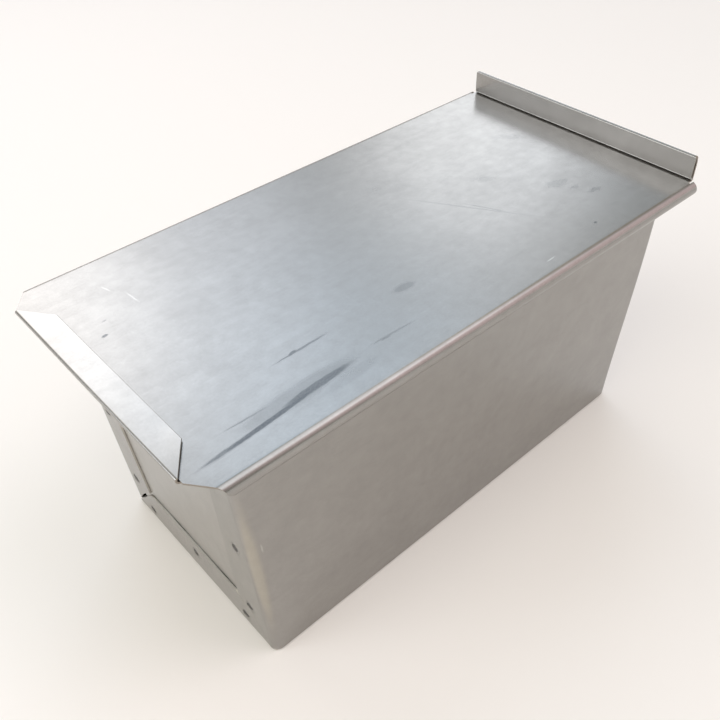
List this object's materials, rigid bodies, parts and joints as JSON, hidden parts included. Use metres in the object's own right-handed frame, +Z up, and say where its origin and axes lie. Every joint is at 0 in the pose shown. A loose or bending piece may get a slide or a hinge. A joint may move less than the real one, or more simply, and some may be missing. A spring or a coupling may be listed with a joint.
{
  "type": "pullman loaf pan",
  "caption": "Folded sheet-metal loaf pan with welded-in end walls, a holding lip and a flat lid that slides along its rails for a square loaf.",
  "frame": {"origin": "middle of the flat underside, halfway between the feet of the two end walls", "axes": "+X along the pan away from the folded lip, the way the lid slides off; +Y across; +Z up"},
  "size_m": [0.2057, 0.106, 0.1089],
  "materials": {
    "trough_sheet": "hot-dip aluminised steel sheet, rolled satin",
    "panel_sheet": "hot-dip aluminised steel sheet, rolled satin",
    "lid_sheet": "hot-dip aluminised steel sheet, rolled satin, lightly scratched",
    "weld_nugget": "electrode mark of a resistance spot weld, slightly burnt"
  },
  "bodies": {
    "pan": {"folded_trough": "trough_sheet", "near_end_panel": "panel_sheet", "far_end_panel": "panel_sheet", "near_end_spot_welds": "weld_nugget", "far_end_spot_welds": "weld_nugget"},
    "lid": {"sliding_lid": "lid_sheet"}
  },
  "joints": [
    {"name": "lid_slide", "type": "slide", "parent": "pan", "child": "lid", "axis": [1, 0, 0], "range_m": [0, 0.21]}
  ]
}
